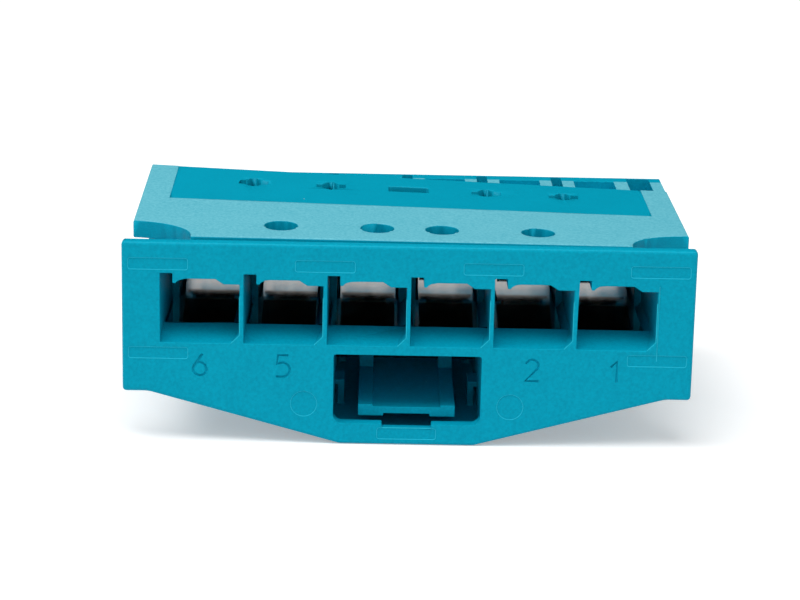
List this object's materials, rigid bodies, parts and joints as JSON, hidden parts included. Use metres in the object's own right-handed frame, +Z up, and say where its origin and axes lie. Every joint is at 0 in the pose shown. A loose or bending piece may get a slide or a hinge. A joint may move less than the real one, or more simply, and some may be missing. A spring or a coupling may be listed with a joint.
{
  "type": "pluggable terminal block connector",
  "caption": "Flat turquoise terminal connector with a row of spring-clamp wire entries, a snap cover on top, sockets at the rear and a rocking latch below.",
  "frame": {"origin": "bottom centre of the whole part, on the surface it stands on", "axes": "+X to the right seen from the wire side, along the row of poles; +Y from the wire entries to the mating rear; +Z up"},
  "size_m": [0.0522, 0.0322, 0.0208],
  "materials": {
    "housing": "satin moulded turquoise plastic",
    "cover": "spark-textured turquoise plastic with a smooth recess",
    "spring_steel": "bright spring steel",
    "tinned_copper": "silvery tin plating on copper alloy strip"
  },
  "bodies": {
    "housing": {"front_housing": "housing", "rear_housing": "housing", "top_cover": "cover", "bottom_cover": "housing", "latch_pivot_pin": "spring_steel", "latch_leaf_spring": "spring_steel", "current_bar_1": "tinned_copper", "current_bar_2": "tinned_copper", "current_bar_3": "tinned_copper", "current_bar_4": "tinned_copper", "current_bar_5": "tinned_copper", "current_bar_6": "tinned_copper", "socket_contact_1": "tinned_copper", "socket_contact_2": "tinned_copper", "socket_contact_3": "tinned_copper", "socket_contact_4": "tinned_copper", "socket_contact_5": "tinned_copper", "socket_contact_6": "tinned_copper"},
    "latch": {"latch_lever": "housing"},
    "spring_1": {"clamp_spring_1": "spring_steel"},
    "spring_2": {"clamp_spring_2": "spring_steel"},
    "spring_3": {"clamp_spring_3": "spring_steel"},
    "spring_4": {"clamp_spring_4": "spring_steel"},
    "spring_5": {"clamp_spring_5": "spring_steel"},
    "spring_6": {"clamp_spring_6": "spring_steel"}
  },
  "joints": [
    {"name": "latch_rock", "type": "hinge", "parent": "housing", "child": "latch", "pos_m": [0, -0.00055, 0.0044], "axis": [-1, 0, 0], "range_deg": [0, 5], "stiffness_Nm_per_rad": 0.02, "deforming": ["latch_leaf_spring"]},
    {"name": "clamp_open_1", "type": "hinge", "parent": "housing", "child": "spring_1", "pos_m": [0.01905, -0.00375, 0.01375], "axis": [1, 0, 0], "range_deg": [0, 22], "stiffness_Nm_per_rad": 0.02},
    {"name": "clamp_open_2", "type": "hinge", "parent": "housing", "child": "spring_2", "pos_m": [0.01143, -0.00375, 0.01375], "axis": [1, 0, 0], "range_deg": [0, 22], "stiffness_Nm_per_rad": 0.02},
    {"name": "clamp_open_3", "type": "hinge", "parent": "housing", "child": "spring_3", "pos_m": [0.00381, -0.00375, 0.01375], "axis": [1, 0, 0], "range_deg": [0, 22], "stiffness_Nm_per_rad": 0.02},
    {"name": "clamp_open_4", "type": "hinge", "parent": "housing", "child": "spring_4", "pos_m": [-0.00381, -0.00375, 0.01375], "axis": [1, 0, 0], "range_deg": [0, 22], "stiffness_Nm_per_rad": 0.02},
    {"name": "clamp_open_5", "type": "hinge", "parent": "housing", "child": "spring_5", "pos_m": [-0.01143, -0.00375, 0.01375], "axis": [1, 0, 0], "range_deg": [0, 22], "stiffness_Nm_per_rad": 0.02},
    {"name": "clamp_open_6", "type": "hinge", "parent": "housing", "child": "spring_6", "pos_m": [-0.01905, -0.00375, 0.01375], "axis": [1, 0, 0], "range_deg": [0, 22], "stiffness_Nm_per_rad": 0.02}
  ]
}
